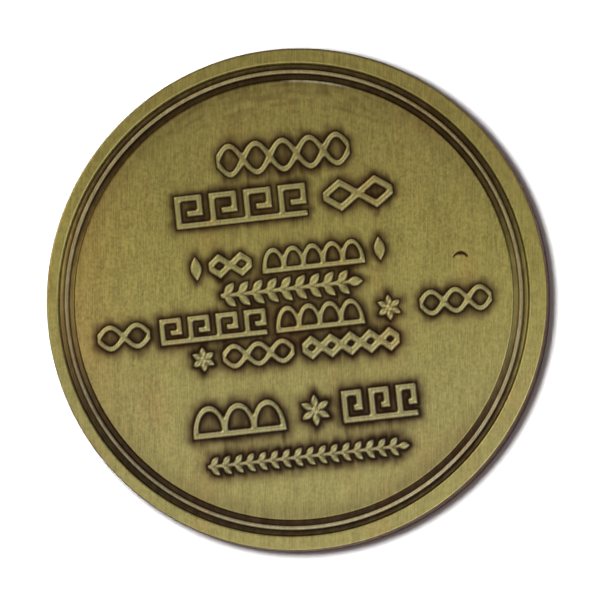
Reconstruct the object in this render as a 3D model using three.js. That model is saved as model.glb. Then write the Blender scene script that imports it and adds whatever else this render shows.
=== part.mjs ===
// Challenge coin: a die-struck brass disc with an antique finish.
// The obverse has a flat rim, a border of two grooves with a raised bead between them, and eight rows
// of raised ornament on a flat field. The reverse has the same border round a star in a wreath.
// Millimetres, +Z up. The coin lies flat with its obverse up and the ornament rows along +X. The
// origin is at the middle of the coin, on the surface that it lies on.

import * as THREE from 'three';

// ---- Driving dimensions, mm ----

// The blank
const COIN_DIAMETER = 44.45;
const COIN_THICKNESS = 3;
const RIM_BEVEL = 0.15;

// The dies struck the blank a little off its centre, so the border sits to the left of the edge
const STRIKE_OFFSET = new THREE.Vector2(-0.27, 0);

// The border, as radii from the middle of the strike
const FIELD_RADIUS = 19.43;
const RIM_FLAT_INNER_RADIUS = 20.96;
const BEAD_RADIUS = 20.2;
const BEAD_BASE_WIDTH = 0.58;
const BEAD_TOP_WIDTH = 0.26;
const GROOVE_SLOPE_WIDTH = 0.15;

// Levels below the rim, the same on both faces
const FIELD_DEPTH = 0.25;
const GROOVE_DEPTH = 0.4;
const BEAD_TOP_DEPTH = 0.05;
const RELIEF_TOP_DEPTH = 0.03;

// The ornament rows on the obverse. Each group is [motif, left end, right end] along the row.
const ROWS = [
  { baseline: 11.33, height: 3.11, stroke: 0.56, groups: [['braid', -5.87, 6.1]] },
  { baseline: 7.25, height: 3, stroke: 0.56, groups: [['key', -9.97, 1.81], ['lozenges', 3.23, 9.52]] },
  {
    baseline: 2.52,
    height: 2.31,
    stroke: 0.5,
    groups: [
      ['spindle', -9.13, -8.08],
      ['lozenges', -7.5, -3.58],
      ['arches', -2.8, 6.46],
      ['spindle', 7.25, 8.3],
    ],
  },
  { baseline: -0.13, height: 2.31, stroke: 0.5, groups: [['laurel', -6.7, 6.1]] },
  {
    baseline: -2.82,
    height: 2.4,
    stroke: 0.5,
    groups: [
      ['braid', -17.99, -13.23],
      ['key', -12.39, -2.83],
      ['arches', -2.12, 5.89],
      ['rosette', 6.9, 9.3],
      ['braid', 10.79, 17.27],
    ],
  },
  {
    baseline: -5.53,
    height: 2.27,
    stroke: 0.5,
    groups: [
      ['rosette', -9.9, -7.63],
      ['braid', -7.08, -0.62],
      ['lozenges', 0.03, 8.77],
    ],
  },
  {
    baseline: -11.41,
    height: 2.93,
    stroke: 0.56,
    groups: [
      ['arches', -10.39, -1.99],
      ['rosette', -0.81, 2.12],
      ['key', 3.02, 9.75],
    ],
  },
  { baseline: -14.8, height: 1.78, stroke: 0.42, groups: [['laurel', -9.37, 8.73]] },
];

// The motifs' proportions. A pitch is a share of the row's height.
const BRAID_PITCH = 0.82;
const LOZENGE_PITCH = 0.85;
const ARCH_PITCH = 0.85;
const KEY_PITCH = 0.9;
const LAUREL_PITCH = 0.58;

// The key's hooks turn in at this share of the height. Its gaps are shares of the stroke.
const KEY_HOOK_LEVEL = 0.45;
const KEY_GAP_BESIDE_HOOK = 1;
const KEY_GAP_INSIDE_HOOK = 0.85;

// A laurel leaf's width and its bud's length, as shares of the row's height, and its stem's width,
// as a share of the stroke
const LAUREL_LEAF_WIDTH = 0.34;
const LAUREL_BUD_LENGTH = 0.6;
const LAUREL_STEM_WIDTH = 0.8;
const LAUREL_SPREAD = THREE.MathUtils.degToRad(46);

// The rosette's eye radius and petal width, as shares of the stroke
const ROSETTE_PETALS = 6;
const ROSETTE_EYE = 0.58;
const ROSETTE_PETAL_WIDTH = 1.2;

// On every sprig: how far leaf roots sink into the stem, where along its pitch a pair of leaves
// stands, and how much wider the bud is than a leaf
const LEAF_ROOT_INSET = 0.2;
const LEAF_PAIR_START = 0.35;
const BUD_WIDENING = 1.2;

// The reverse
const STAR_RADIUS = 6.2;
const STAR_WAIST_RATIO = 0.45;
const STAR_POINTS = 5;
const WREATH_RADIUS = 12.6;
const WREATH_STEM_WIDTH = 0.5;
const WREATH_LEAF_LENGTH = 3.1;
const WREATH_LEAF_WIDTH = 1.1;
const WREATH_LEAF_PAIRS = 9;
const WREATH_LEAF_SPREAD = THREE.MathUtils.degToRad(36);
const WREATH_GAP_AT_FOOT = THREE.MathUtils.degToRad(14);
const WREATH_GAP_AT_TOP = THREE.MathUtils.degToRad(26);

// Smoothness of round shapes
const RING_SEGMENTS = 72;
const STEPS_PER_LENS = 12;
const STEPS_PER_ARCH = 12;
const STEPS_PER_LEAF_SIDE = 5;

// A leaf is this share of the way up its sine curve where it leaves its stem
const LEAF_ROOT_SHARE = 0.12;

// ---- Worked out from the above ----

const COIN_RADIUS = COIN_DIAMETER / 2;
const BORE_RADIUS = RIM_FLAT_INNER_RADIUS - RIM_BEVEL;
const OBVERSE_FIELD_Z = COIN_THICKNESS - FIELD_DEPTH;
const RELIEF_HEIGHT = FIELD_DEPTH - RELIEF_TOP_DEPTH;
const BEAD_HEIGHT = GROOVE_DEPTH - BEAD_TOP_DEPTH;

// ---- Materials: polished a little more where a surface stands higher ----

const antiqueBrass = (color, roughness) => new THREE.MeshStandardMaterial({ color, roughness, metalness: 0.9 });

const FINISHES = {
  rim: antiqueBrass(0x978b55, 0.42),
  core: antiqueBrass(0x8e8350, 0.45),
  bead: antiqueBrass(0xa89d70, 0.36),
  relief: antiqueBrass(0xa89d6c, 0.36),
};

// ---- Small helpers ----

function circlePoints(radius, centreX = 0, centreY = 0) {
  const points = [];
  for (let i = 0; i < RING_SEGMENTS; i += 1) {
    const angle = (i / RING_SEGMENTS) * Math.PI * 2;
    points.push(new THREE.Vector2(centreX + radius * Math.sin(angle), centreY - radius * Math.cos(angle)));
  }
  return points;
}

// A profile of [radius, z] corners turned round the Z axis
function turned(profile) {
  const corners = profile.map(([radius, z]) => new THREE.Vector2(radius, z));
  const geometry = new THREE.LatheGeometry(corners, RING_SEGMENTS);
  geometry.rotateX(Math.PI / 2);
  return geometry;
}

// A flat outline with its openings, raised to a solid
function raised({ outline, openings = [] }, height) {
  const shape = new THREE.Shape(outline);
  shape.holes = openings.map((opening) => new THREE.Path(opening));
  return new THREE.ExtrudeGeometry(shape, { depth: height, bevelEnabled: false });
}

const at = (x, y) => new THREE.Vector2(x, y);

// How many units of about this pitch fill a width
const fitting = (width, pitch) => Math.max(1, Math.round(width / pitch));

// Points of fn(0) to fn(1) in even steps
function sampled(steps, fn) {
  const points = [];
  for (let i = 0; i <= steps; i += 1) {
    points.push(fn(i / steps));
  }
  return points;
}

// The edge of a pointed leaf, from one side of its root over the tip to the other side
function leafEdge(root, angle, length, width) {
  const along = at(Math.cos(angle), Math.sin(angle));
  const across = at(-along.y, along.x);
  const side = (sign, t) => {
    const offset = (sign * width * Math.sin(Math.PI * (LEAF_ROOT_SHARE + (1 - LEAF_ROOT_SHARE) * t))) / 2;
    return root.clone().addScaledVector(along, length * t).addScaledVector(across, offset);
  };
  const outward = sampled(STEPS_PER_LEAF_SIDE, (t) => side(-1, t));
  const back = sampled(STEPS_PER_LEAF_SIDE, (t) => side(1, 1 - t));
  return [...outward, ...back.slice(1)];
}

// A stem of even width from x = 0 to run, with leaves in pairs and a bud at its end
function sprig({ run, stem, pairs, length, width, spread, bud }) {
  const half = stem / 2;
  const rootHeight = half * (1 - LEAF_ROOT_INSET);
  const lower = [];
  const upper = [];
  for (let i = 0; i < pairs; i += 1) {
    const rootX = (run * (i + LEAF_PAIR_START)) / pairs;
    lower.push(...leafEdge(at(rootX, -rootHeight), -spread, length, width));
    upper.push(...leafEdge(at(rootX, rootHeight), spread, length, width).reverse());
  }
  const end = leafEdge(at(run, 0), 0, bud, width * BUD_WIDENING);
  return [at(0, -half), ...lower, ...end, ...upper.reverse(), at(0, half)];
}

// A closed lens from x = left to right, bulging by reach on each side of y = middle
function lens(left, right, middle, reach) {
  const side = (sign) => (t) => at(left + (right - left) * t, middle + sign * reach * Math.sin(Math.PI * t));
  return [...sampled(STEPS_PER_LENS, side(-1)), ...sampled(STEPS_PER_LENS, side(1)).reverse().slice(1, -1)];
}

// ---- Ornament motifs, each filling a box of width x height from its lower left corner ----

const MOTIFS = {
  // Pointed rings joined end to end, as two strands make where they swing across each other
  braid(width, height, stroke) {
    const middle = height / 2;
    const count = fitting(width, height * BRAID_PITCH);
    const pitch = width / count;
    const reach = middle - stroke / 2;
    const neck = (stroke / 2) * Math.hypot(1, (reach * Math.PI) / pitch);
    const inset = (pitch * Math.asin(neck / reach)) / Math.PI;
    const edge = (sign) => (t) => {
      const swing = Math.abs(Math.sin(Math.PI * count * t));
      return at(width * t, middle + sign * (neck + (middle - neck) * swing));
    };
    const steps = count * STEPS_PER_LENS;
    const outline = [...sampled(steps, edge(-1)), ...sampled(steps, edge(1)).reverse()];
    const openings = [];
    for (let i = 0; i < count; i += 1) {
      openings.push(lens(pitch * i + inset, pitch * (i + 1) - inset, middle, reach - stroke / 2));
    }
    return { outline, openings };
  },

  // Open diamonds joined point to point
  lozenges(width, height, stroke) {
    const middle = height / 2;
    const count = fitting(width, height * LOZENGE_PITCH);
    const pitch = width / count;
    const thickness = stroke * Math.hypot(1, height / pitch);
    const neck = thickness / 2;
    const holeReach = middle - thickness;
    const holeHalfWidth = ((pitch / 2) * holeReach) / (middle - neck);
    const lower = [at(0, middle - neck)];
    const upper = [at(0, middle + neck)];
    const openings = [];
    for (let i = 0; i < count; i += 1) {
      const peak = pitch * (i + 0.5);
      lower.push(at(peak, 0), at(pitch * (i + 1), middle - neck));
      upper.push(at(peak, height), at(pitch * (i + 1), middle + neck));
      openings.push([
        at(peak - holeHalfWidth, middle),
        at(peak, middle - holeReach),
        at(peak + holeHalfWidth, middle),
        at(peak, middle + holeReach),
      ]);
    }
    return { outline: [...lower, ...upper.reverse()], openings };
  },

  // A bar with a hooked upright on each step
  key(width, height, stroke) {
    const units = fitting(width, height * KEY_PITCH);
    const gap = stroke * KEY_GAP_BESIDE_HOOK;
    const pitch = (width + gap) / units;
    const hookTop = height * KEY_HOOK_LEVEL + stroke / 2;
    const hookFoot = hookTop - stroke;
    const outline = [at(0, 0), at(width, 0), at(width, stroke)];
    for (let i = units - 1; i >= 0; i -= 1) {
      const left = i * pitch;
      const inner = left + stroke;
      const right = left + pitch - gap;
      const hookEnd = inner + stroke * KEY_GAP_INSIDE_HOOK;
      outline.push(
        at(inner, stroke),
        at(inner, height - stroke),
        at(right - stroke, height - stroke),
        at(right - stroke, hookTop),
        at(hookEnd, hookTop),
        at(hookEnd, hookFoot),
        at(right, hookFoot),
        at(right, height),
        at(left, height),
      );
      if (i > 0) {
        outline.push(at(left, stroke));
      }
    }
    return { outline };
  },

  // A row of arches that share their legs, on a bar
  arches(width, height, stroke) {
    const count = fitting(width, height * ARCH_PITCH);
    const pitch = (width - stroke) / count;
    const meeting = Math.acos(pitch / (pitch + stroke));
    const outline = [at(width, 0)];
    const openings = [];
    for (let i = count - 1; i >= 0; i -= 1) {
      const middle = stroke / 2 + pitch * (i + 0.5);
      const from = i === count - 1 ? 0 : meeting;
      const to = Math.PI - (i === 0 ? 0 : meeting);
      const crown = (t) => {
        const angle = from + (to - from) * t;
        return at(middle + ((pitch + stroke) / 2) * Math.cos(angle), height * Math.sin(angle));
      };
      const span = (t) => {
        const angle = Math.PI * t;
        const rise = (height - 2 * stroke) * Math.sin(angle);
        return at(middle + ((pitch - stroke) / 2) * Math.cos(angle), stroke + rise);
      };
      outline.push(...sampled(STEPS_PER_ARCH, crown).slice(1));
      openings.push(sampled(STEPS_PER_ARCH, span));
    }
    return { outline, openings };
  },

  // A leafy branch lying along the row
  laurel(width, height, stroke) {
    const leafWidth = height * LAUREL_LEAF_WIDTH;
    const stem = stroke * LAUREL_STEM_WIDTH;
    const length = (height / 2 - stem / 2) / Math.sin(LAUREL_SPREAD);
    const bud = height * LAUREL_BUD_LENGTH;
    const run = width - bud;
    const pairs = fitting(run, height * LAUREL_PITCH);
    const branch = sprig({ run, stem, pairs, length, width: leafWidth, spread: LAUREL_SPREAD, bud });
    return { outline: branch.map((point) => point.add(at(0, height / 2))) };
  },

  // Pointed petals round a centre
  rosette(width, height, stroke) {
    const centre = at(width / 2, height / 2);
    const eye = stroke * ROSETTE_EYE;
    const outline = [];
    for (let i = 0; i < ROSETTE_PETALS; i += 1) {
      const angle = Math.PI / 2 + (i * 2 * Math.PI) / ROSETTE_PETALS;
      const root = centre.clone().add(at(Math.cos(angle), Math.sin(angle)).multiplyScalar(eye));
      outline.push(...leafEdge(root, angle, height / 2 - eye, stroke * ROSETTE_PETAL_WIDTH));
    }
    return { outline };
  },

  // An upright pointed oval
  spindle(width, height) {
    return { outline: lens(0, height, -width / 2, width / 2).map(({ x, y }) => at(-y, x)) };
  },
};

// ---- The struck body ----

// The blank's outer edge with the flat rim of both faces, pierced for the core
function rimRing() {
  const outline = new THREE.Shape(circlePoints(COIN_RADIUS, -STRIKE_OFFSET.x, -STRIKE_OFFSET.y));
  outline.holes.push(new THREE.Path(circlePoints(BORE_RADIUS)));
  const geometry = new THREE.ExtrudeGeometry(outline, {
    depth: COIN_THICKNESS - 2 * RIM_BEVEL,
    bevelEnabled: true,
    bevelThickness: RIM_BEVEL,
    bevelSize: RIM_BEVEL,
    bevelOffset: -RIM_BEVEL,
    bevelSegments: 1,
    curveSegments: RING_SEGMENTS,
  });
  geometry.translate(0, 0, RIM_BEVEL);
  return geometry;
}

// The disc with a flat field and a groove floor on each face
function coreDisc() {
  const floorStart = FIELD_RADIUS + GROOVE_SLOPE_WIDTH;
  const top = COIN_THICKNESS;
  return turned([
    [0, FIELD_DEPTH],
    [FIELD_RADIUS, FIELD_DEPTH],
    [floorStart, GROOVE_DEPTH],
    [BORE_RADIUS, GROOVE_DEPTH],
    [BORE_RADIUS, top - GROOVE_DEPTH],
    [floorStart, top - GROOVE_DEPTH],
    [FIELD_RADIUS, top - FIELD_DEPTH],
    [0, top - FIELD_DEPTH],
  ]);
}

// The raised line between the two grooves, from the groove floor at z = 0 up
function beadRing() {
  return turned([
    [BEAD_RADIUS - BEAD_BASE_WIDTH / 2, 0],
    [BEAD_RADIUS + BEAD_BASE_WIDTH / 2, 0],
    [BEAD_RADIUS + BEAD_TOP_WIDTH / 2, BEAD_HEIGHT],
    [BEAD_RADIUS - BEAD_TOP_WIDTH / 2, BEAD_HEIGHT],
    [BEAD_RADIUS - BEAD_BASE_WIDTH / 2, 0],
  ]);
}

// ---- The reverse emblem, drawn as it is seen from below ----

function star() {
  const outline = [];
  for (let i = 0; i < STAR_POINTS * 2; i += 1) {
    const radius = i % 2 === 0 ? STAR_RADIUS : STAR_RADIUS * STAR_WAIST_RATIO;
    const angle = Math.PI / 2 + (i * Math.PI) / STAR_POINTS;
    outline.push(at(Math.cos(angle), Math.sin(angle)).multiplyScalar(radius));
  }
  return { outline };
}

// A sprig bent round a circle, from the foot of the wreath up its right side (1) or its left side (-1)
function wreathBranch(side) {
  const sweep = Math.PI - WREATH_GAP_AT_FOOT - WREATH_GAP_AT_TOP;
  const straight = sprig({
    run: sweep * WREATH_RADIUS - WREATH_LEAF_LENGTH,
    stem: WREATH_STEM_WIDTH,
    pairs: WREATH_LEAF_PAIRS,
    length: WREATH_LEAF_LENGTH,
    width: WREATH_LEAF_WIDTH,
    spread: WREATH_LEAF_SPREAD,
    bud: WREATH_LEAF_LENGTH,
  });
  const outline = straight.map(({ x, y }) => {
    const angle = WREATH_GAP_AT_FOOT + x / WREATH_RADIUS;
    const radius = WREATH_RADIUS - y;
    return at(side * radius * Math.sin(angle), -radius * Math.cos(angle));
  });
  return { outline };
}

// ---- Assembly ----

const coin = new THREE.Group();

// Everything that the dies form is centred on the strike
const strike = new THREE.Group();
strike.position.set(STRIKE_OFFSET.x, STRIKE_OFFSET.y, 0);
coin.add(strike);

function addPiece(parent, name, geometry, finish, place = [0, 0, 0]) {
  const mesh = new THREE.Mesh(geometry, finish);
  mesh.name = name;
  mesh.position.set(...place);
  parent.add(mesh);
}

addPiece(strike, 'rim_ring', rimRing(), FINISHES.rim);
addPiece(strike, 'core_disc', coreDisc(), FINISHES.core);
addPiece(strike, 'obverse_bead', beadRing(), FINISHES.bead, [0, 0, COIN_THICKNESS - GROOVE_DEPTH]);

ROWS.forEach((row, rowIndex) => {
  row.groups.forEach(([motif, start, end], groupIndex) => {
    const place = 'abcdefgh'[groupIndex];
    const name = `relief_${rowIndex + 1}${place}_${motif}`;
    const geometry = raised(MOTIFS[motif](end - start, row.height, row.stroke), RELIEF_HEIGHT);
    addPiece(coin, name, geometry, FINISHES.relief, [start, row.baseline, OBVERSE_FIELD_Z]);
  });
});

// The reverse hangs from a group turned over about the Y axis
const reverse = new THREE.Group();
reverse.position.set(STRIKE_OFFSET.x, STRIKE_OFFSET.y, 0);
reverse.rotation.y = Math.PI;
coin.add(reverse);

addPiece(reverse, 'reverse_bead', beadRing(), FINISHES.bead, [0, 0, -GROOVE_DEPTH]);

const emblemPlace = [0, 0, -FIELD_DEPTH];
const emblem = {
  reverse_star: star(),
  reverse_wreath_left: wreathBranch(-1),
  reverse_wreath_right: wreathBranch(1),
};
for (const [name, figure] of Object.entries(emblem)) {
  addPiece(reverse, name, raised(figure, RELIEF_HEIGHT), FINISHES.relief, emblemPlace);
}

export default coin;
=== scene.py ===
# Looks of a die-struck challenge coin with an antique-brass finish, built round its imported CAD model.
# Every CAD node is replaced by a fine mesh of the same place and size: the rim, core and beads are
# turned sections, and each raised ornament is a height field grown from its own CAD outline.
import math

import bpy
import numpy as np
from mathutils import Matrix, Vector


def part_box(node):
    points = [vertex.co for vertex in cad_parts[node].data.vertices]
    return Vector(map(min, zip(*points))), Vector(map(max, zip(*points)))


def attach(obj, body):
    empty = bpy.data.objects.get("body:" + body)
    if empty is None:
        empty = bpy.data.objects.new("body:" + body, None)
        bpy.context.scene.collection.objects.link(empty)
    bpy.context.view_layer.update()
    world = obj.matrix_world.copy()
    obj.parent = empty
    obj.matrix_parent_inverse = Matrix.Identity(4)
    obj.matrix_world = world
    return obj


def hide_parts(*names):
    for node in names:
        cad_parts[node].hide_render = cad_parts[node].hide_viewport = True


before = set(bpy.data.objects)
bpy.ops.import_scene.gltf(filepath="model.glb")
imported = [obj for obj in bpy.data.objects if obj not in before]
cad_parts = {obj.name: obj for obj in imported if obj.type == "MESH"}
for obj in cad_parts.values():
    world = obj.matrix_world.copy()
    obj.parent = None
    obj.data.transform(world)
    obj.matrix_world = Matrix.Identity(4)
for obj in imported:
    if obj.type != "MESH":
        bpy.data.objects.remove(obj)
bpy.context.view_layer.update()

MM = 0.001

# ---- Sizes in mm, the same as the CAD's where the frame doesn't give them ----

# Radii are from the middle of the strike, and depths are below the rim's flat land
FIELD_RADIUS = 19.43
RIM_FLAT_INNER_RADIUS = 20.96
RIM_BEVEL = 0.15
FIELD_DEPTH = 0.25
GROOVE_DEPTH = 0.4
GROOVE_SLOPE = 0.2
BEAD_HALF_WIDTH = 0.29
BEAD_HEIGHT = 0.35

# The coin's surface was brushed along one line, which leans a little from the rows' upright
BRUSH_LEAN = math.radians(5.9)

TURN_STEPS = 1080
TURN = np.arange(TURN_STEPS) * 2 * math.pi / TURN_STEPS
SEED = 7


def box_mm(node):
    """A CAD node's lowest and highest corners in mm."""
    low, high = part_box(node)
    return np.array(low) / MM, np.array(high) / MM


coin_low, coin_high = box_mm("rim_ring")
core_low, core_high = box_mm("core_disc")
bead_low, bead_high = box_mm("obverse_bead")
THICKNESS = coin_high[2]
COIN_RADIUS = (coin_high[0] - coin_low[0]) / 2
STRIKE = (core_low[:2] + core_high[:2]) / 2
BORE_RADIUS = (core_high[0] - core_low[0]) / 2
BEAD_RADIUS = (bead_high[0] - bead_low[0]) / 2 - BEAD_HALF_WIDTH
OBVERSE_RELIEF = [name for name in sorted(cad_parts) if name.startswith("relief_")]
REVERSE_RELIEF = ["reverse_star", "reverse_wreath_left", "reverse_wreath_right"]


# ---- Numbers ----


def smooth(low, high, value):
    """0 up to low, 1 from high, and a soft step between; low may be the larger."""
    t = np.clip((value - low) / (high - low), 0, 1)
    return t * t * (3 - 2 * t)


def blurred(grid, sigma_x, sigma_y=None):
    """A grid softened by a Gaussian, whose sigma along each axis is given in cells."""
    for axis, sigma in ((0, sigma_x), (1, sigma_y or sigma_x)):
        reach = int(math.ceil(3 * sigma))
        taps = np.exp(-0.5 * (np.arange(-reach, reach + 1) / sigma) ** 2)
        taps /= taps.sum()
        border = [(0, 0), (0, 0)]
        border[axis] = (reach, reach)
        padded = np.pad(grid, border, mode="edge")
        size = grid.shape[axis]
        grid = sum(tap * padded.take(range(i, i + size), axis=axis) for i, tap in enumerate(taps))
    return grid


def between(grid, i, j, share_i, share_j):
    """The value between a grid's point i, j and the next ones; its opposite edges join."""
    rows, columns = grid.shape
    i, next_i = i % rows, (i + 1) % rows
    j, next_j = j % columns, (j + 1) % columns
    near = grid[i, j] * (1 - share_i) + grid[next_i, j] * share_i
    far = grid[i, next_j] * (1 - share_i) + grid[next_i, next_j] * share_i
    return near * (1 - share_j) + far * share_j


class Noise:
    """Smooth random values from -1 to 1 over the plane, from a grid of seeded random numbers."""

    cells = 256

    def __init__(self, pitch, seed):
        self.pitch = pitch
        self.values = np.random.default_rng(seed).uniform(-1, 1, (self.cells, self.cells))

    def at(self, x, y):
        u, v = np.asarray(x) / self.pitch, np.asarray(y) / self.pitch
        i, j = np.floor(u).astype(int), np.floor(v).astype(int)
        return between(self.values, i, j, smooth(0, 1, u - i), smooth(0, 1, v - j))


# ---- Outlines and distances ----

LEVEL_TOLERANCE = 0.01
POINT_DIGITS = 4

# Each face's field is mapped on a square grid, and distances are measured as far as the reach
MAP_PITCH = 0.08
MAP_MARGIN = 1
MAP_REACH = 2.0
# How far crowding spreads, and how far brushing drags the patina across and along the brush lines
CROWDING_SPREAD = 0.8
DRAG_SPREAD = (0.12, 1.2)


def outline_of(node):
    """The edges round the flat top of a raised CAD node, as rows of x1, y1, x2, y2 in mm."""
    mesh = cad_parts[node].data
    points = np.array([v.co for v in mesh.vertices]) / MM
    top = points[:, 2].max() if node in OBVERSE_RELIEF else points[:, 2].min()
    flat = np.abs(points[:, 2] - top) < LEVEL_TOLERANCE
    plan = points[:, :2].round(POINT_DIGITS)
    seen = {}
    for face in mesh.polygons:
        corners = list(face.vertices)
        if not all(flat[i] for i in corners):
            continue
        for a, b in zip(corners, corners[1:] + corners[:1]):
            ends = sorted([tuple(plan[a]), tuple(plan[b])])
            key = ends[0] + ends[1]
            seen[key] = seen.get(key, 0) + 1
    return np.array([key for key, count in seen.items() if count == 1])


def depth_inside(x, y, outline):
    """How far each point is inside an outline: positive inside, negative outside, in mm."""
    px, py = x.ravel(), y.ravel()
    nearest = np.full(px.size, np.inf)
    inside = np.zeros(px.size, bool)
    for x1, y1, x2, y2 in outline:
        dx, dy = x2 - x1, y2 - y1
        t = np.clip(((px - x1) * dx + (py - y1) * dy) / (dx * dx + dy * dy), 0, 1)
        nearest = np.minimum(nearest, (px - x1 - t * dx) ** 2 + (py - y1 - t * dy) ** 2)
        if y1 != y2:
            crosses = (y1 > py) != (y2 > py)
            inside ^= crosses & (px < x1 + (py - y1) * dx / dy)
    depth = np.where(inside, 1, -1) * np.sqrt(nearest)
    return depth.reshape(x.shape)


OUTLINES = {node: outline_of(node) for node in OBVERSE_RELIEF + REVERSE_RELIEF}


class FaceMap:
    """How close each place on a face's field is to the raised work, and how crowded it is there."""

    def __init__(self, nodes):
        self.low = -FIELD_RADIUS - MAP_MARGIN
        count = int(2 * -self.low / MAP_PITCH) + 1
        axis = self.low + MAP_PITCH * np.arange(count)
        self.depth = np.full((count, count), -MAP_REACH)
        for node in nodes:
            low, high = box_mm(node)
            near = [
                np.flatnonzero((axis > low[k] - MAP_REACH) & (axis < high[k] + MAP_REACH))
                for k in (0, 1)
            ]
            x, y = np.meshgrid(axis[near[0]], axis[near[1]], indexing="ij")
            window = np.ix_(*near)
            depth = depth_inside(x, y, OUTLINES[node])
            self.depth[window] = np.maximum(self.depth[window], depth)
        covered = smooth(-MAP_PITCH, MAP_PITCH, self.depth)
        self.crowding = blurred(covered, CROWDING_SPREAD / MAP_PITCH)
        self.drag = blurred(covered, *(spread / MAP_PITCH for spread in DRAG_SPREAD))

    def read(self, grid, x, y):
        """A map's value at each place; places past its edge take the edge's value."""
        last = grid.shape[0] - 1 - 1e-3
        u = np.clip((x - self.low) / MAP_PITCH, 0, last)
        v = np.clip((y - self.low) / MAP_PITCH, 0, last)
        i, j = u.astype(int), v.astype(int)
        return between(grid, i, j, u - i, v - j)


MAPS = {"obverse": FaceMap(OBVERSE_RELIEF), "reverse": FaceMap(REVERSE_RELIEF)}


# ---- Materials ----

# The metal's colour on each kind of piece, where it is toned, and where it is rubbed bright, a colour
# the painted highlights share
OLIVE = (0.315, 0.285, 0.094, 1)
BEAD_OLIVE = (0.3, 0.265, 0.135, 1)
RELIEF_OLIVE = (0.275, 0.254, 0.105, 1)
WARM = (0.34, 0.24, 0.08, 1)
PALE = (0.485, 0.44, 0.32, 1)
SPECK_BROWN = (0.09, 0.07, 0.04, 1)

# How much of the metal's red, green and blue the thickest film lets through
FILM_TINT = (0.06, 0.039, 0.055)
# Painted sheen: the metal is a little paler and bluer toward the foot of the rows, as a broad
# reflection would make it, over this stretch of mm
LOW_SIDE_SHEEN_TINT = (1.03, 1.05, 1.35, 1)
LOW_SIDE_SHEEN = (-14, 7)
# The field is warmer toward its left side, over this stretch of mm
WARM_SIDE = (-21, -12)
# The tint of what the metal reflects at glancing angles
GLANCING_TINT = (0.8, 0.66, 0.67, 1)

# Noise patterns on the brushed metal: cells per mm along each axis, detail, and a shift of their own
PATTERNS = {
    "grain": ((4.5, 3.8, 4.5), 2, (0, 0, 0)),
    "hair": ((9, 0.5, 4), 2, (5, 1, 0)),
    "streak": ((1.1, 0.07, 1), 2, (3, 7, 0)),
    "blotch": ((0.3, 0.16, 0.3), 2, (1, 2, 3)),
    "mottle": ((1.9, 1.0, 1.6), 3, (9, 4, 0)),
    "speck": ((6.5, 6.5, 6.5), 1, (2, 8, 5)),
}
# Noise keeps within about this much of 0.5, and the fine grain a little more
NOISE_HALF_RANGE = 0.2
GRAIN_HALF_RANGE = 0.25
# How much each pattern lightens and darkens the metal
GRAIN_LIGHT = 0.13
HAIR_LIGHT = 0.12
STREAK_LIGHT = 0.05
# Soft steps over a pattern: where it starts and ends, then the share that it gives at each end
BLOTCH_WARMTH = (0.5, 0.74, 0, 0.4)
MOTTLE_WARMTH = (0.55, 0.78, 0, 0.2)
SPECK_DARKNESS = (0.72, 0.8, 0, 0.4)
RUBBED_HAIRLINES = (0.25, 0.7, 0.6, 1.1)
# How uneven the patterns make a thin film, and what is left of that in the thickest one
GRAIN_FILM = 0.14
MOTTLE_FILM = 0.2
THICK_FILM_UNEVENNESS = 0.3

# How much the grain swings the roughness, the film adds to it and rubbing takes off
GRAIN_ROUGHNESS = 0.06
FILM_ROUGHNESS = 0.12
RUBBED_POLISH = 0.08
# Bump of the grain and hairlines together, which share one height, and of the mottles
BUMP_DISTANCE = 0.02 * MM
FINE_BUMP = 0.16
MOTTLE_BUMP = 0.25
GRAIN_BUMP_SHARE = 0.6


def new_material(name):
    material = bpy.data.materials.new(name)
    material.use_nodes = True
    tree = material.node_tree
    tree.nodes.clear()
    return material, tree


class Nodes:
    """Short calls for building a node tree."""

    def __init__(self, tree):
        self.tree = tree

    def add(self, kind, links=None, **settings):
        node = self.tree.nodes.new(kind)
        for key, value in settings.items():
            setattr(node, key, value)
        for socket, value in (links or {}).items():
            if isinstance(value, bpy.types.NodeSocket):
                self.tree.links.new(value, node.inputs[socket])
            else:
                node.inputs[socket].default_value = value
        return node

    def math(self, operation, a, b=0.0, clamp=False):
        node = self.add("ShaderNodeMath", {0: a, 1: b}, operation=operation, use_clamp=clamp)
        return node.outputs[0]

    def vector_math(self, operation, links):
        return self.add("ShaderNodeVectorMath", links, operation=operation).outputs[0]

    def ramp(self, value, low, high, out_low=0.0, out_high=1.0):
        """A soft step from out_low to out_high as the value goes from low to high."""
        node = self.add(
            "ShaderNodeMapRange",
            {
                "Value": value,
                "From Min": low,
                "From Max": high,
                "To Min": out_low,
                "To Max": out_high,
            },
            interpolation_type="SMOOTHSTEP",
        )
        return node.outputs["Result"]

    def swing(self, noise, amount, half_range=NOISE_HALF_RANGE, middle=0.0):
        """Noise as a swing of this amount each way round a middle value."""
        return self.ramp(noise, 0.5 - half_range, 0.5 + half_range, middle - amount, middle + amount)

    def noise(self, vector, stretch, detail, shift):
        mapping = self.add(
            "ShaderNodeMapping", {"Vector": vector, "Scale": stretch, "Location": shift}
        )
        node = self.add(
            "ShaderNodeTexNoise", {"Vector": mapping.outputs[0], "Scale": 1.0, "Detail": detail}
        )
        return node.outputs["Fac"]

    def mix(self, factor, a, b, blend="MIX"):
        # A colour mix has its A and B at 6 and 7
        node = self.add(
            "ShaderNodeMix", {0: factor, 6: a, 7: b}, data_type="RGBA", blend_type=blend
        )
        return node.outputs[2]

    def attribute(self, name):
        return self.add("ShaderNodeAttribute", attribute_name=name).outputs["Fac"]


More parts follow.
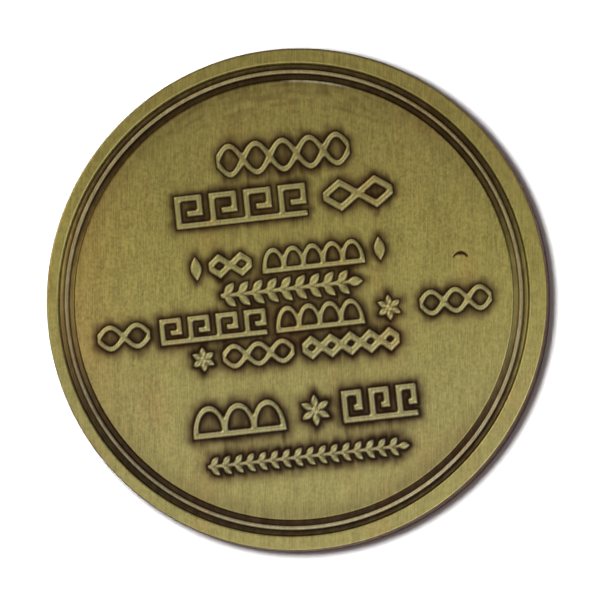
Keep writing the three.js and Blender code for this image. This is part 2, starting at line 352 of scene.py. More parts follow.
def metal_colour(n, place, noise, clean, side_warmth):
    """The bare metal: brass with warm blotches, a painted sheen that pales it toward the foot of the
    rows, brushed light and dark, and a few specks.
    """
    across = n.add("ShaderNodeSeparateXYZ", {0: place}).outputs
    tone = n.mix(n.ramp(noise["blotch"], *BLOTCH_WARMTH), clean, WARM)
    tone = n.mix(n.ramp(noise["mottle"], *MOTTLE_WARMTH), tone, WARM)
    tone = n.mix(n.ramp(across["X"], *WARM_SIDE, side_warmth, 0), tone, WARM)
    # Painted sheen: paler and bluer toward the foot of the rows
    tone = n.mix(n.ramp(across["Y"], *LOW_SIDE_SHEEN, 1, 0), tone, LOW_SIDE_SHEEN_TINT, "MULTIPLY")
    grain = n.swing(noise["grain"], GRAIN_LIGHT, GRAIN_HALF_RANGE, middle=1)
    light = n.math("ADD", grain, n.swing(noise["hair"], HAIR_LIGHT))
    light = n.math("ADD", light, n.swing(noise["streak"], STREAK_LIGHT))
    shaded = n.vector_math("SCALE", {0: tone, "Scale": light})
    return n.mix(n.ramp(noise["speck"], *SPECK_DARKNESS), shaded, SPECK_BROWN)


def uneven_film(n, noise):
    """The film's thickness: the patina and painted shade of each vertex, broken up by the grain where
    it is thin.
    """
    patina_and_shade = n.attribute("patina_and_shade")
    grain = n.swing(noise["grain"], GRAIN_FILM, GRAIN_HALF_RANGE)
    uneven = n.math("ADD", grain, n.swing(noise["mottle"], MOTTLE_FILM))
    uneven = n.math("MULTIPLY", uneven, n.ramp(patina_and_shade, 0, 1, 1, THICK_FILM_UNEVENNESS))
    return n.math("MULTIPLY", patina_and_shade, n.math("ADD", uneven, 1.0), clamp=True)


def seen_through(n, colour, film):
    """A colour under a film that takes away light by its thickness, as dye does."""
    shares = {i: n.math("POWER", tint, film) for i, tint in enumerate(FILM_TINT)}
    passed = n.add("ShaderNodeCombineXYZ", shares).outputs[0]
    return n.vector_math("MULTIPLY", {0: colour, 1: passed})


def brushed_bump(n, noise):
    """The surface's direction, roughened by fine brush marks and by wider mottles."""
    grain = n.math("MULTIPLY", noise["grain"], GRAIN_BUMP_SHARE)
    hair = n.math("MULTIPLY", noise["hair"], 1 - GRAIN_BUMP_SHARE)
    fine = n.add(
        "ShaderNodeBump",
        {"Height": n.math("ADD", grain, hair), "Strength": FINE_BUMP, "Distance": BUMP_DISTANCE},
    )
    wide = n.add(
        "ShaderNodeBump",
        {
            "Height": noise["mottle"],
            "Strength": MOTTLE_BUMP,
            "Distance": BUMP_DISTANCE,
            "Normal": fine.outputs[0],
        },
    )
    return wide.outputs[0]


def antique_brass(name, clean, roughness, side_warmth=0.0):
    """Brushed brass with a dark patina in the low places and rubbed metal on the high edges, and the
    painted shade and painted highlights that its vertices carry.
    """
    material, tree = new_material(name)
    n = Nodes(tree)
    coordinates = n.add("ShaderNodeTexCoord").outputs["Object"]
    # Object space in mm, turned so that Y runs along the brush lines
    place = n.add(
        "ShaderNodeMapping",
        {"Vector": coordinates, "Rotation": (0, 0, BRUSH_LEAN), "Scale": (1 / MM, 1 / MM, 1 / MM)},
    ).outputs[0]
    noise = {kind: n.noise(place, *pattern) for kind, pattern in PATTERNS.items()}

    film = uneven_film(n, noise)
    # Rubbed metal and painted highlights both pale the colour
    hairlines = n.ramp(noise["hair"], *RUBBED_HAIRLINES)
    brightened = n.math("MULTIPLY", n.attribute("wear_and_highlight"), hairlines, clamp=True)
    colour = seen_through(n, metal_colour(n, place, noise, clean, side_warmth), film)
    colour = n.mix(brightened, colour, PALE)

    rough = n.swing(noise["grain"], GRAIN_ROUGHNESS, GRAIN_HALF_RANGE, middle=roughness)
    rough = n.math("ADD", rough, n.math("MULTIPLY", film, FILM_ROUGHNESS))
    rough = n.math("SUBTRACT", rough, n.math("MULTIPLY", brightened, RUBBED_POLISH))

    shader = n.add(
        "ShaderNodeBsdfPrincipled",
        {
            "Base Color": colour,
            "Metallic": 1.0,
            "Roughness": rough,
            "Specular Tint": GLANCING_TINT,
            "Normal": brushed_bump(n, noise),
        },
    )
    n.add("ShaderNodeOutputMaterial", {"Surface": shader.outputs[0]})
    return material


MATERIALS = {
    "field": antique_brass("field_brass", OLIVE, roughness=0.41, side_warmth=0.5),
    "rim": antique_brass("rim_brass", OLIVE, roughness=0.41),
    "bead": antique_brass("bead_brass", BEAD_OLIVE, roughness=0.49),
    "relief": antique_brass("relief_brass", RELIEF_OLIVE, roughness=0.51),
}


# ---- Meshes ----


def add_mesh(name, points, faces, patina_and_shade, wear_and_highlight, replaced, slot):
    """A smooth mesh from points in mm, with its patina and painted shade, and its wear and painted
    highlights, stored on its vertices.
    """
    mesh = bpy.data.meshes.new(name)
    mesh.from_pydata((points * MM).tolist(), [], faces)
    mesh.shade_smooth()
    for label, values in (("patina_and_shade", patina_and_shade), ("wear_and_highlight", wear_and_highlight)):
        layer = mesh.attributes.new(label, "FLOAT", "POINT")
        layer.data.foreach_set("value", np.clip(values, 0, 1).astype(np.float32))
    mesh.validate()
    piece = bpy.data.objects.new(name, mesh)
    bpy.context.scene.collection.objects.link(piece)
    piece.data.materials.append(MATERIALS[slot])
    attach(piece, "root")
    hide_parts(replaced)


def turned_faces(rows, closed):
    """Quads between rows of points round the coin, with the last row joined to the first if closed."""
    ring = np.arange(TURN_STEPS)
    after = (ring + 1) % TURN_STEPS
    faces = []
    for row in range(rows if closed else rows - 1):
        a, b = row * TURN_STEPS, ((row + 1) % rows) * TURN_STEPS
        faces.append(np.stack([a + ring, b + ring, b + after, a + after], axis=1))
    return np.concatenate(faces).tolist()


# ---- Patina and painted shade on several pieces ----

# Directions round the coin, in degrees anticlockwise from its right
TOP = 90
UPPER_LEFT = 120
LEFT = 180
RIGHT = -26
LOW_RIGHT = -60
BOTTOM = -106

# All films, patina and painted shade alike, are shares of the thickest one, and all wear and painted
# highlights are shares of metal rubbed bare
GROOVE_FILM_LEAST = 0.1
GROOVE_FILM_GAIN = 0.58
# The film sets in over these sines of the angle between a groove and the brush lines
GROOVE_ACROSS = (0.03, 0.72)
# Painted shade toward the coin's top: a thin film that sets in over this stretch of mm along the brush
# lines
TOP_SHADE_FILM = 0.08
TOP_SHADE_ROWS = (-2, 18)


def facing(angle, degrees, low, high):
    """A soft step round the coin: 0 away from a direction, 1 near it; low and high are cosines."""
    return smooth(low, high, np.cos(angle - math.radians(degrees)))


def groove_darkness(angle):
    """The grooves' film: thin where a groove runs along the brush lines, and thicker where it crosses
    them.
    """
    across = np.abs(np.sin(angle + BRUSH_LEAN))
    return GROOVE_FILM_LEAST + GROOVE_FILM_GAIN * smooth(*GROOVE_ACROSS, across)


def rubbed_side(angle):
    """0 round the coin's bottom, where the outer groove keeps its patina, and 1 elsewhere."""
    return 1 - facing(angle, BOTTOM, -0.2, 0.5)


def top_shade(x, y):
    """Painted shade: the thin film that the whole coin carries, which thickens toward the coin's top,
    where it lies in dimmer light.
    """
    along_brush = x * math.sin(BRUSH_LEAN) + y * math.cos(BRUSH_LEAN)
    return TOP_SHADE_FILM * smooth(*TOP_SHADE_ROWS, along_brush)


# ---- The core: field and groove floors of both faces ----

FIELD_RING_PITCH = 0.1
REVERSE_RING_PITCH = 0.4
HUB_RADIUS = 0.02
# The fine rings over the groove's slope start before the field's edge and end past the slope
SLOPE_LEAD = 0.15
SLOPE_OVERRUN = 0.06
SLOPE_GAP = 0.03
SLOPE_RINGS = 13
FLOOR_GAP = 0.1
FLOOR_RINGS = 12
# The slope's rounded shoulder starts this far inside the field's edge, and past the bead the floor
# rises toward the field's level, which it would reach this far outside the bore
SHOULDER_REACH = 0.04
RISE_OVERRUN = 0.1

FIELD_WAVES = Noise(3.1, SEED)
FIELD_WAVE_HEIGHT = 0.004
HAZE_WAVES = Noise(1.3, SEED + 5)
HAZE_SPREAD = Noise(0.6, SEED + 8)
SMEARS = Noise(2.4, SEED + 4)
SMEAR_SQUEEZE = 6
RIPPLES = Noise(0.28, SEED + 6)
RIPPLE_STRETCH = 5

# A dark outline and a wider haze lie round the raised work; widths are in mm, and the powers say
# how sharply each ends
OUTLINE_WIDTH = 0.15
OUTLINE_POWER = 1.5
OUTLINE_FILM = 0.17
HAZE_WIDTH = 0.43
HAZE_WIDTH_SWING = 0.15
HAZE_POWER = 1.6
HAZE_FILM = 0.43
HAZE_FILM_SWING = 0.18
# Places that the raised work encloses are darker
ENCLOSED_FILM = 0.22
ENCLOSED_CROWDING = (0.16, 0.4)
# The low rows have more of all this, over this stretch of mm, and a film of their own near the work
LOW_ROWS = (6, -12)
OUTLINE_LOW_GAIN = 0.22
HAZE_UPPER_SHARE = 0.92
HAZE_LOW_GAIN = 0.2
LOW_ROWS_FILM = 0.11
LOW_ROWS_CROWDING = (0.01, 0.2)
# The open field's smears: how much drag brings them out, and the noise that breaks them up
SMEAR_FILM = 0.2
SMEAR_DRAG = (0.05, 0.5)
SMEAR_BREAKS = (-0.2, 0.7)
# The field's border is toned toward the top and bottom, by the sine of the angle round the coin,
# and rippled near the top; its bands are in mm from the field's edge
BORDER_FILM = 0.09
BORDER_WIDTH = 2
BORDER_SINES = (0.1, 0.9)
RIPPLE_FILM = 0.09
RIPPLE_BAND = (4, 1.5)
RIPPLE_BREAKS = (-0.1, 0.8)
# The grooves' film sets in over the field's edge, and starts further in on the upper left
CREEP = 0.13
GROOVE_EDGE = (-0.03, 0.1)
GROOVE_FLOOR_GAIN = 0.05
GROOVE_FLOOR_START = 0.05
# The outer groove has less, from the bead's middle at the coin's bottom, and from further out elsewhere
OUTER_GROOVE_LOSS = 0.22
OUTER_SHIFT = 0.25
OUTER_WIDTH = 0.3

NICK_CENTRE = (14.81, 1.77)
NICK_RADIUS = 0.73
NICK_HALF_WIDTH = 0.23
NICK_TAPER = 0.6
NICK_DEPTH = 0.03
NICK_SOFTNESS = (0.2, 1)
NICK_SPAN = (math.radians(28), math.radians(140))
# A painted glint: a highlight painted on the field's edge near the top
GLINT_DIRECTION = 78
GLINT_RADIUS = 19.37
GLINT_REACH = (0.13, 0.04)
GLINT_MM_PER_RADIAN = 60
GLINT_EVEN_SHARE = 0.75


def nick_mark(x, y):
    """1 in a small curved scratch on the obverse field, falling to 0 beside it."""
    dx, dy = x - NICK_CENTRE[0], y - NICK_CENTRE[1]
    middle, half = sum(NICK_SPAN) / 2, (NICK_SPAN[1] - NICK_SPAN[0]) / 2
    along = np.abs(np.arctan2(dy, dx) - middle) / half
    half_width = NICK_HALF_WIDTH * (1 - NICK_TAPER * smooth(0, 1, along))
    off_arc = np.abs(np.hypot(dx, dy) - NICK_RADIUS)
    off_span = np.maximum(along - 1, 0) * half * NICK_RADIUS
    return 1 - smooth(*NICK_SOFTNESS, np.hypot(off_arc, off_span) / half_width)


def painted_glint(radius, angle):
    """Painted glint: a short stretch of the field's edge, near the top, is painted bright as a
    highlight.
    """
    stretch = facing(angle, GLINT_DIRECTION, 0.984, 1)
    waves = HAZE_WAVES.at(angle * GLINT_MM_PER_RADIAN, radius)
    broken = GLINT_EVEN_SHARE + (1 - GLINT_EVEN_SHARE) * waves
    return stretch * broken * smooth(*GLINT_REACH, np.abs(radius - GLINT_RADIUS))


def film_round_relief(face, x, y):
    """Dark film close round the raised work, thicker where it is crowded and in the low rows."""
    away = np.maximum(-face.read(face.depth, x, y), 0)
    crowding = face.read(face.crowding, x, y)
    low_rows = smooth(*LOW_ROWS, y)
    outline = np.exp(-((away / OUTLINE_WIDTH) ** OUTLINE_POWER))
    outline = outline * (OUTLINE_FILM + OUTLINE_LOW_GAIN * low_rows)
    haze_width = HAZE_WIDTH + HAZE_WIDTH_SWING * HAZE_SPREAD.at(x, y)
    haze = np.exp(-((away / haze_width) ** HAZE_POWER))
    haze = haze * (HAZE_FILM + HAZE_FILM_SWING * HAZE_WAVES.at(x, y))
    haze = haze * (HAZE_UPPER_SHARE + HAZE_LOW_GAIN * low_rows)
    enclosed = ENCLOSED_FILM * smooth(*ENCLOSED_CROWDING, crowding)
    near = LOW_ROWS_FILM * smooth(*LOW_ROWS_CROWDING, crowding)
    return outline + haze + enclosed + near * low_rows


def film_on_field(face, x, y, radius, angle):
    """Thin film on the open field: smears, a toned border that is rippled near the top, and the painted
    shade toward the top.
    """
    smear = smooth(*SMEAR_DRAG, face.read(face.drag, x, y))
    smear = smear * smooth(*SMEAR_BREAKS, SMEARS.at(x * SMEAR_SQUEEZE, y))
    border = smooth(FIELD_RADIUS - BORDER_WIDTH, FIELD_RADIUS, radius)
    border = border * smooth(*BORDER_SINES, np.abs(np.sin(angle)))
    ripple = smooth(*(FIELD_RADIUS - inset for inset in RIPPLE_BAND), radius)
    ripple = ripple * smooth(*RIPPLE_BREAKS, RIPPLES.at(x / RIPPLE_STRETCH, radius))
    ripple = ripple * facing(angle, TOP, 0.75, 0.95)
    return SMEAR_FILM * smear + BORDER_FILM * border + RIPPLE_FILM * ripple + top_shade(x, y)


def film_in_grooves(radius, angle):
    """Thick film in both grooves, a little thinner in the outer one."""
    floor = smooth(FIELD_RADIUS + GROOVE_FLOOR_START, FIELD_RADIUS + GROOVE_SLOPE, radius)
    outer_start = BEAD_RADIUS + OUTER_SHIFT * rubbed_side(angle)
    outer = smooth(outer_start, outer_start + OUTER_WIDTH, radius)
    return (groove_darkness(angle) + GROOVE_FLOOR_GAIN * floor) * (1 - OUTER_GROOVE_LOSS * outer)


def core_patina_and_shade(face, x, y, radius, angle):
    """The field's film, which gives way to the grooves' film over the field's edge."""
    creep = CREEP * facing(angle, UPPER_LEFT, 0.3, 0.85)
    start, end = (FIELD_RADIUS + step for step in GROOVE_EDGE)
    groove = smooth(start - creep, end - creep / 2, radius)
    film = film_round_relief(face, x, y) + film_on_field(face, x, y, radius, angle)
    return film * (1 - groove) + film_in_grooves(radius, angle) * groove


def core_radii(pitch):
    """Radii from near the middle out to the bore, closer together over the groove's slope."""
    flat_end = FIELD_RADIUS - SLOPE_LEAD
    slope_end = FIELD_RADIUS + GROOVE_SLOPE + SLOPE_OVERRUN
    field = np.linspace(HUB_RADIUS, flat_end, int(flat_end / pitch))
    slope = np.linspace(flat_end + SLOPE_GAP, slope_end, SLOPE_RINGS)
    floor = np.linspace(slope_end + FLOOR_GAP, BORE_RADIUS, FLOOR_RINGS)
    return np.concatenate([field, slope, floor])


def groove_drop(radius):
    """How far below the field the floor lies: down into the grooves, and up again to meet the rim."""
    fallen = smooth(FIELD_RADIUS - SHOULDER_REACH, FIELD_RADIUS + GROOVE_SLOPE, radius)
    risen = smooth(BEAD_RADIUS + BEAD_HALF_WIDTH, BORE_RADIUS + RISE_OVERRUN, radius)
    return (GROOVE_DEPTH - FIELD_DEPTH) * (fallen - risen)


def build_core():
    """Rings from the obverse's middle out to the bore, then from the bore to the reverse's middle."""
    rings = [("obverse", radius) for radius in core_radii(FIELD_RING_PITCH)]
    rings += [("reverse", radius) for radius in core_radii(REVERSE_RING_PITCH)[::-1]]
    rows, films, rubs_and_highlights = [], [], []
    for face_name, radius in rings:
        x = STRIKE[0] + radius * np.cos(TURN)
        y = STRIKE[1] + radius * np.sin(TURN)
        sunk = FIELD_DEPTH + groove_drop(radius) + FIELD_WAVE_HEIGHT * FIELD_WAVES.at(x, y)
        film = core_patina_and_shade(MAPS[face_name], x, y, radius, TURN)
        glint_row = np.zeros(TURN_STEPS)
        if face_name == "obverse":
            mark = nick_mark(x, y)
            sunk = sunk + NICK_DEPTH * mark
            film = np.maximum(film, mark)
            # A painted glint on the obverse field's edge, carried with the wear
            glint_row = painted_glint(radius, TURN)
        z = THICKNESS - sunk if face_name == "obverse" else sunk
        rows.append(np.stack([x, y, z], axis=1))
        films.append(film)
        rubs_and_highlights.append(glint_row)
    # A fan of small triangles closes the middle of each face
    hubs = np.array([[*STRIKE, THICKNESS - FIELD_DEPTH], [*STRIKE, FIELD_DEPTH]])
    top_hub = len(rows) * TURN_STEPS
    last_row = top_hub - TURN_STEPS
    ring = np.arange(TURN_STEPS)
    after = (ring + 1) % TURN_STEPS
    top = np.stack([np.full(TURN_STEPS, top_hub), ring, after], axis=1)
    bottom = np.stack([np.full(TURN_STEPS, top_hub + 1), last_row + after, last_row + ring], axis=1)
    add_mesh(
        "core_disc_struck",
        np.concatenate(rows + [hubs]),
        turned_faces(len(rows), closed=False) + top.tolist() + bottom.tolist(),
        np.concatenate(films + [np.zeros(2)]),
        np.concatenate(rubs_and_highlights + [np.zeros(2)]),
        "core_disc",
        "field",
    )


# ---- The rim: flat land on both faces, rounded outer corners, a drafted wall into the groove ----

RIM_WAVES = Noise(2.3, SEED + 1)
RIM_WAVE_HEIGHT = 0.002
EDGE_WAVES = Noise(0.7, SEED + 2)
EDGE_WAVE_STRETCH = 3
# The wall into the groove leans out by the slope, which its rounded lip makes wider than the CAD's,
# and the land starts just past it
LIP_ROUNDING = 0.08
RIM_SLOPE = RIM_FLAT_INNER_RADIUS - BORE_RADIUS + LIP_ROUNDING
RIM_SLOPE_POWER = 1.5
RIM_FOOT_DROP = 0.28
RIM_SLOPE_ROWS = 10
RIM_ROWS = 9
LAND_INSETS = (RIM_SLOPE + 0.05, RIM_BEVEL + 0.02)
LAND_SHARES = (0.04, 0.96)

WALL_FILM = 0.55
WALL_RUBBED_LOSS = 0.42
# A rubbed wall stays clean this far below the land, and then its film sets in over the next stretch
WALL_CLEAN_DROP = 0.12
WALL_FILM_DROP = 0.13
# The outer edge and wall carry patina and painted shade for the shadow the wall stands in. It sets in
# over a drop of its own, sooner at the top, where it paints a dark outline of shade
EDGE_FILM_AND_SHADE = 0.66
EDGE_FILM_SWING = 0.1
EDGE_FILM_DROP = 0.13
EDGE_TOP_SHADE_LEAD = 0.04
LIP_WEAR = 0.07
LIP_DROP = (0.12, 0.02)
LIP_EVEN_SHARE = 0.4


def rim_section():
    """Rows of a face and of the outer wall, from the bore outward. Each row is its share of the way
    from bore to outer edge, its insets from the bore and from the edge, and its drop below the land."""
    foot = [(0.0, 0.0, 0.0, GROOVE_DEPTH)]
    slope = [
        (0.0, RIM_SLOPE * t, 0.0, RIM_FOOT_DROP * (1 - t) ** RIM_SLOPE_POWER)
        for t in np.linspace(0, 1, RIM_SLOPE_ROWS)
    ]
    land = [(share, *LAND_INSETS, 0.0) for share in np.linspace(*LAND_SHARES, RIM_ROWS)]
    corner = [
        (1.0, 0.0, RIM_BEVEL * (1 - math.sin(a)), RIM_BEVEL * (1 - math.cos(a)))
        for a in np.linspace(0, math.pi / 2, RIM_ROWS)
    ]
    drops = np.linspace(RIM_BEVEL, THICKNESS - RIM_BEVEL, RIM_ROWS)[1:-1]
    wall = [(1.0, 0.0, 0.0, drop) for drop in drops]
    return foot + slope + land + corner, wall


def rim_film(share, drop, side, ragged):
    """Film on the wall above the groove, and patina with painted shade on the rounded outer edge and
    outer wall; none on the land.
    """
    brightened = rubbed_side(TURN)
    clean = WALL_CLEAN_DROP * brightened
    deep = (share == 0.0) * smooth(clean, clean + WALL_FILM_DROP, drop)
    wall = (WALL_FILM - WALL_RUBBED_LOSS * brightened) * deep * groove_darkness(TURN)
    # Patina with painted shade on the outer edge and wall, starting sooner at the top as a painted dark
    # outline
    corner_drop = drop + EDGE_TOP_SHADE_LEAD * facing(TURN, TOP, 0.6, 1)
    edge = (share == 1.0) * (smooth(0, EDGE_FILM_DROP, corner_drop) if side else 1.0)
    return wall + edge * (EDGE_FILM_AND_SHADE + EDGE_FILM_SWING * ragged)


def build_rim():
    """Rows from the obverse's bore, over its land, down the outer wall and back on the reverse."""
    face, wall = rim_section()
    section = [(row, 1) for row in face]
    section += [(row, 0) for row in wall]
    section += [(row, -1) for row in face[::-1]]
    outward = np.array([np.cos(TURN), np.sin(TURN)])
    rows, films, rubs_and_highlights = [], [], []
    for (share, inset_in, inset_out, drop), side in section:
        inner = STRIKE[:, None] + (BORE_RADIUS + inset_in) * outward
        outer = (COIN_RADIUS - inset_out) * outward
        x, y = inner * (1 - share) + outer * share
        on_land = share not in (0.0, 1.0)
        sunk = drop + on_land * RIM_WAVE_HEIGHT * (1 + RIM_WAVES.at(x, y))
        rows.append(np.stack([x, y, sunk if side < 0 else THICKNESS - sunk], axis=1))
        # Each row reads the noise at its own height, and each face in a part of its own
        height = np.full(TURN_STEPS, EDGE_WAVE_STRETCH * drop + side)
        ragged = 0.5 + 0.5 * EDGE_WAVES.at(TURN * COIN_RADIUS, height)
        # The rim's film also carries the painted shade toward the coin's top
        films.append(rim_film(share, drop, side, ragged) + top_shade(x, y))
        lip = smooth(*LIP_DROP, drop) * (share == 0.0)
        rubs_and_highlights.append(LIP_WEAR * lip * (LIP_EVEN_SHARE + (1 - LIP_EVEN_SHARE) * ragged))
    add_mesh(
        "rim_ring_struck",
        np.concatenate(rows),
        turned_faces(len(rows), closed=True),
        np.concatenate(films),
        np.concatenate(rubs_and_highlights),
        "rim_ring",
        "rim",
    )


# ---- The border beads: a rounded line standing between the grooves ----

BEAD_WAVES = Noise(0.5, SEED + 3)
# Each bead reads the noise in a part of its own, this far from the middle
BEAD_WAVE_SHIFT = 10
BEAD_ROWS = 19
BEAD_FLATNESS = 2.6
BEAD_UNEVENNESS = 0.02
# Painted shade on the bead at its left and right, and a painted highlight on its crest at the lower
# right
BEAD_LEFT_SHADE = 0.1
BEAD_RIGHT_SHADE = 0.08
BEAD_WEAR = 0.08
BEAD_WEAR_SWING = 0.16
BEAD_LOW_RIGHT_HIGHLIGHT = 0.1
# Toward the crest, the film ends and the wear and painted highlight set in over these shares of the
# half width
BEAD_FILM_END = (0.92, 0.5)
BEAD_CREST = (0.75, 0.35)


def build_bead(node, side):
    """A closed ring whose section rises from the groove's floor; side is -1 on the reverse."""
    # Painted shade at the left and right, and a painted highlight at the lower right
    left = BEAD_LEFT_SHADE * facing(TURN, LEFT, 0.2, 0.9)
    right = BEAD_RIGHT_SHADE * facing(TURN, RIGHT, 0.75, 1)
    low_right = BEAD_LOW_RIGHT_HIGHLIGHT * facing(TURN, LOW_RIGHT, 0.85, 1)
    rows, films, rubs_and_highlights = [], [], []
    for across in np.linspace(-1, 1, BEAD_ROWS):
        height = BEAD_HEIGHT * (1 - abs(across) ** BEAD_FLATNESS)
        radius = BEAD_RADIUS + side * BEAD_HALF_WIDTH * across
        place = np.full(TURN_STEPS, BEAD_WAVE_SHIFT * side + across)
        uneven = BEAD_WAVES.at(TURN * BEAD_RADIUS, place)
        sunk = GROOVE_DEPTH - height * (1 - BEAD_UNEVENNESS * (1 + uneven))
        x = STRIKE[0] + radius * np.cos(TURN)
        y = STRIKE[1] + radius * np.sin(TURN)
        rows.append(np.stack([x, y, THICKNESS - sunk if side > 0 else sunk], axis=1))
        low = 1 - smooth(*BEAD_FILM_END, abs(across))
        # The low parts' film, with the painted shade at the sides and toward the coin's top
        films.append(low * groove_darkness(TURN) + left + right + top_shade(x, y))
        crest = smooth(*BEAD_CREST, abs(across))
        rubs_and_highlights.append(crest * (BEAD_WEAR + BEAD_WEAR_SWING * uneven + low_right))
    add_mesh(
        node + "_struck",
        np.concatenate(rows),
        turned_faces(len(rows), closed=True),
        np.concatenate(films),
        np.concatenate(rubs_and_highlights),
        node,
        "bead",
    )


# ---- Raised ornament: a height field over each CAD outline ----

# How far an ornament's foot flares out, and how much of a stroke its rounded shoulders take
RELIEF_FLARE = 0.06
RELIEF_SHOULDER = 0.28
RELIEF_PITCH = 0.045
REVERSE_PITCH = 0.08
MARGIN_CELLS = 4
# The foot slopes on below the field as far as the sink, and is cut off on the way
FOOT_SLOPE = 1.2
RELIEF_SINK = 0.05
FOOT_CUT = 0.6 * RELIEF_SINK
# How much the distances and then the heights are softened, in cells
DEPTH_BLUR = 1.2
HEIGHT_BLUR = 1.0

RELIEF_FILM = 0.75
RELIEF_FILM_LEVELS = (0.12, 0.66)
# Wear is on the shoulder, this far inside the outline, with a painted highlight added mostly on the
# strokes' upper sides, where light falls from the top
WEAR_INSET = 0.13
WEAR_WIDTH = 0.07
WEAR_LEVELS = (0.5, 0.85)
RELIEF_WEAR = 0.08
UPPER_SIDE_HIGHLIGHT = 0.38
UPPER_SIDE_SLOPES = (0.2, 1)


def relief_height(depth, full):
    """Height over the field at each depth inside the outline."""
    rise = np.clip((depth + RELIEF_FLARE) / (RELIEF_FLARE + RELIEF_SHOULDER), 0, 1)
    shoulder = full * (1 - (1 - rise) ** 2)
    foot = np.maximum(FOOT_SLOPE * np.minimum(depth + RELIEF_FLARE, 0), -RELIEF_SINK)
    return blurred(np.where(rise > 0, shoulder, foot), HEIGHT_BLUR)


def quads_over(kept):
    """The grid's points and quads in every cell that has a kept corner."""
    cells = kept[:-1, :-1] | kept[1:, :-1] | kept[:-1, 1:] | kept[1:, 1:]
    i, j = np.nonzero(cells)
    count = kept.shape[1]
    corner = i * count + j
    quads = np.stack([corner, corner + count, corner + count + 1, corner + 1], axis=1)
    used, quads = np.unique(quads, return_inverse=True)
    return used, quads.reshape(-1, 4)


def build_relief(node, face_name, pitch):
    """One ornament: the grid over its outline, lifted, with film at its foot, and wear and a painted
    highlight on top.
    """
    low, high = box_mm(node)
    margin = MARGIN_CELLS * pitch + RELIEF_FLARE
    axes = [np.arange(low[k] - margin, high[k] + margin, pitch) for k in (0, 1)]
    x, y = np.meshgrid(*axes, indexing="ij")
    full = high[2] - low[2]
    depth = blurred(depth_inside(x, y, OUTLINES[node]), DEPTH_BLUR)
    height = relief_height(depth, full)
    used, quads = quads_over(height > -FOOT_CUT)
    z = THICKNESS - FIELD_DEPTH + height
    if face_name == "reverse":
        z = FIELD_DEPTH - height
        quads = quads[:, ::-1]
    points = np.stack([x, y, z], axis=-1).reshape(-1, 3)[used]

    level = (height / full).ravel()[used]
    film = RELIEF_FILM * (1 - smooth(*RELIEF_FILM_LEVELS, level))
    facing_up = -np.gradient(depth, pitch, axis=1).ravel()[used]
    shoulder = np.exp(-(((depth.ravel()[used] - WEAR_INSET) / WEAR_WIDTH) ** 2))
    # Wear on the shoulder, plus a painted highlight on the slopes that face the picture's top
    wear_and_highlight = RELIEF_WEAR + UPPER_SIDE_HIGHLIGHT * smooth(*UPPER_SIDE_SLOPES, facing_up)
    wear_and_highlight = wear_and_highlight * shoulder * smooth(*WEAR_LEVELS, level)
    # The ornament also carries the painted shade toward the coin's top
    film = film + top_shade(points[:, 0], points[:, 1])
    add_mesh(node + "_struck", points, quads.tolist(), film, wear_and_highlight, node, "relief")


build_core()
build_rim()
build_bead("obverse_bead", 1)
build_bead("reverse_bead", -1)
for relief_node in OBVERSE_RELIEF:
    build_relief(relief_node, "obverse", RELIEF_PITCH)
for relief_node in REVERSE_RELIEF:
    build_relief(relief_node, "reverse", REVERSE_PITCH)


# ---- Floor, light and camera, in metres ----

VIEW_WIDTH = 52.94 * MM
CAMERA_DISTANCE = 1.5
CAMERA_CLIP = 0.01
CAMERA_TILT = math.radians(7.7)
CAMERA_SIDE = math.radians(-39)
COIN_OFF_CENTRE = (-0.33 * MM, 0.08 * MM)
SENSOR = 36

# The picture's upright and right-hand directions, as they lie over the coin
PICTURE_UP = Vector((math.sin(BRUSH_LEAN), math.cos(BRUSH_LEAN), 0))
PICTURE_RIGHT = Vector((math.cos(BRUSH_LEAN), -math.sin(BRUSH_LEAN), 0))

FLOOR_HALF_WIDTH = 3.0
FLOOR_DROP = 0.02 * MM
FLOOR_WHITE = (0.9, 0.9, 0.9, 1)
FLOOR_ROUGHNESS = 0.9
# The floor gives off its own light away from the coin, over this stretch of distances
GLOW_DISTANCES = (0.045, 0.16)
GLOW_STRENGTHS = (0.03, 0.9)

WHITE = (1, 1, 1, 1)
STUDIO_AIR = (0.13, 0.105, 0.105, 1)
OVERHEAD_COLOUR = (1, 0.96, 0.82)
WINDOW_COLOUR = (1, 0.93, 0.66)
FILL_COLOUR = (0.9, 0.95, 1)
SIDE_COLOUR = (1, 0.95, 0.85)
SIDE_DISTANCE = 0.42
SIDE_HEIGHT = 0.22
SIDE_WIDTH = 0.5
# The side lamps: which way each stands in the picture, and its power
SIDE_LAMPS = {
    "side_left": (-1, 0, 0.3),
    "side_right": (1, 0, 0.3),
    "side_top": (0, 1, 0.5),
    "side_bottom": (0, -1, 0.2),
}


def aim(thing, place, target, up):
    """Stands a light or camera at a place, looking along its own -Z at the target."""
    back = (place - target).normalized()
    right = up.cross(back).normalized()
    true_up = back.cross(right)
    turn = Matrix((right, true_up, back)).transposed().to_4x4()
    thing.matrix_world = Matrix.Translation(place) @ turn


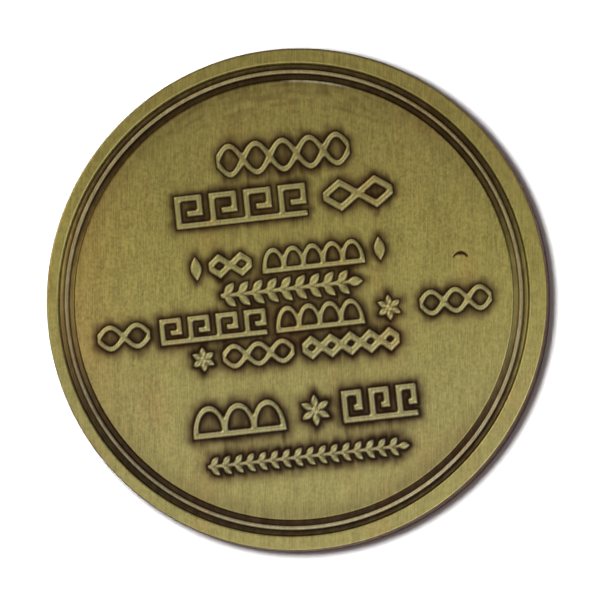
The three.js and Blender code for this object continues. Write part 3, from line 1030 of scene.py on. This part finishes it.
def add_floor():
    mesh = bpy.data.meshes.new("floor")
    corners = [
        (FLOOR_HALF_WIDTH * x, FLOOR_HALF_WIDTH * y, -FLOOR_DROP)
        for x, y in ((-1, -1), (1, -1), (1, 1), (-1, 1))
    ]
    mesh.from_pydata(corners, [], [(0, 1, 2, 3)])
    floor = bpy.data.objects.new("floor", mesh)
    bpy.context.scene.collection.objects.link(floor)
    material, tree = new_material("floor_white")
    n = Nodes(tree)
    coordinates = n.add("ShaderNodeTexCoord").outputs["Object"]
    length = n.add("ShaderNodeVectorMath", {0: coordinates}, operation="LENGTH")
    glow = n.ramp(length.outputs["Value"], *GLOW_DISTANCES, *GLOW_STRENGTHS)
    shader = n.add(
        "ShaderNodeBsdfPrincipled",
        {
            "Base Color": FLOOR_WHITE,
            "Roughness": FLOOR_ROUGHNESS,
            "Specular IOR Level": 0.0,
            "Emission Color": WHITE,
            "Emission Strength": glow,
        },
    )
    n.add("ShaderNodeOutputMaterial", {"Surface": shader.outputs[0]})
    mesh.materials.append(material)


def add_light(name, place, width, power, colour=(1, 1, 1), on_metal=True, on_floor=True):
    """A round lamp, aimed at the coin, that the camera doesn't see."""
    light = bpy.data.lights.new(name, "AREA")
    light.shape = "DISK"
    light.size = width
    light.energy = power
    light.color = colour
    lamp = bpy.data.objects.new(name, light)
    bpy.context.scene.collection.objects.link(lamp)
    aim(lamp, place, Vector((0, 0, 0)), PICTURE_UP)
    lamp.visible_camera = False
    lamp.visible_glossy = on_metal
    lamp.visible_diffuse = on_floor


def studio_place(right, up, height):
    """A place to the right of the coin's middle in the picture, up from it, and above the floor."""
    return PICTURE_RIGHT * right + PICTURE_UP * up + Vector((0, 0, height))


def add_lights():
    """The key lamp casts the shadow on the floor, and the other lamps light only the metal."""
    key_place = studio_place(-0.0165, 0.0055, 0.18)
    add_light("key", key_place, width=0.048, power=0.5, on_metal=False)
    for name, place, width, power, colour in (
        ("overhead", studio_place(0.02, -0.15, 0.25), 0.42, 0.6, OVERHEAD_COLOUR),
        ("window", studio_place(-0.3, 0.2, 0.3), 0.35, 1.12, WINDOW_COLOUR),
        ("fill", studio_place(0.25, -0.12, 0.25), 0.3, 0.5, FILL_COLOUR),
    ):
        add_light(name, place, width, power, colour, on_floor=False)
    for name, (right, up, power) in SIDE_LAMPS.items():
        place = studio_place(SIDE_DISTANCE * right, SIDE_DISTANCE * up, SIDE_HEIGHT)
        add_light(name, place, SIDE_WIDTH, power, SIDE_COLOUR, on_floor=False)


def add_world():
    """White behind everything, and dim grey in the metal's reflections."""
    world = bpy.data.worlds.new("studio")
    bpy.context.scene.world = world
    world.use_nodes = True
    world.node_tree.nodes.clear()
    n = Nodes(world.node_tree)
    seen = n.add("ShaderNodeLightPath").outputs["Is Camera Ray"]
    colour = n.mix(seen, STUDIO_AIR, WHITE)
    background = n.add("ShaderNodeBackground", {"Color": colour, "Strength": 1.0})
    n.add("ShaderNodeOutputWorld", {"Surface": background.outputs[0]})


def add_camera():
    data = bpy.data.cameras.new("camera")
    data.sensor_width = SENSOR
    data.lens = SENSOR * CAMERA_DISTANCE / VIEW_WIDTH
    data.clip_start = CAMERA_CLIP
    camera = bpy.data.objects.new("camera", data)
    bpy.context.scene.collection.objects.link(camera)
    sideways = math.sin(CAMERA_TILT)
    away = Vector(
        (
            sideways * math.cos(CAMERA_SIDE),
            sideways * math.sin(CAMERA_SIDE),
            math.cos(CAMERA_TILT),
        )
    )
    coin_top = Vector((0, 0, THICKNESS * MM))
    target = coin_top - PICTURE_RIGHT * COIN_OFF_CENTRE[0] - PICTURE_UP * COIN_OFF_CENTRE[1]
    aim(camera, target + away * CAMERA_DISTANCE, target, PICTURE_UP)
    bpy.context.scene.camera = camera


add_floor()
add_lights()
add_world()
add_camera()
bpy.context.scene.view_settings.view_transform = "Standard"
